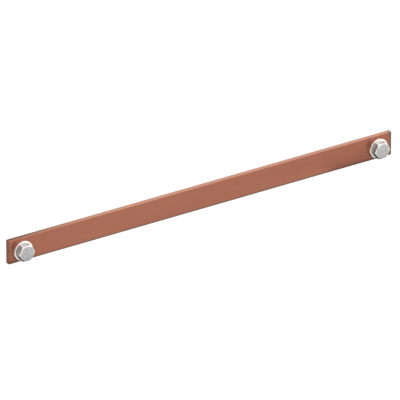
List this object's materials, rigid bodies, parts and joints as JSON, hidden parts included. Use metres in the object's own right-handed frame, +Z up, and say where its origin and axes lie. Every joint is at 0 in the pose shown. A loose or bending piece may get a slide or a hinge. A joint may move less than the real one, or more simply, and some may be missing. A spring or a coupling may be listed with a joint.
{
  "type": "copper busbar",
  "caption": "Flat copper busbar held on its long edge, with a hex-head bolt and flat washer through a hole near each end to fix it to supports and make the connection.",
  "frame": {"origin": "centre of the bar's flat back face, which lies against what the bar is fixed to", "axes": "+X along the bar's length, +Y out of the back face along the bolts' tails, +Z up across the bar's width; the bolt heads face -Y"},
  "size_m": [0.45, 0.0264, 0.025],
  "materials": {
    "copper": "drawn bare copper, satin, lightly dulled, with fine lines along the bar",
    "bolt_steel": "zinc-plated steel, semi-bright",
    "washer_steel": "zinc-plated steel, bright"
  },
  "bodies": {
    "root": {"busbar": "copper", "bolt_left": "bolt_steel", "bolt_right": "bolt_steel", "washer_left": "washer_steel", "washer_right": "washer_steel"}
  },
  "joints": []
}
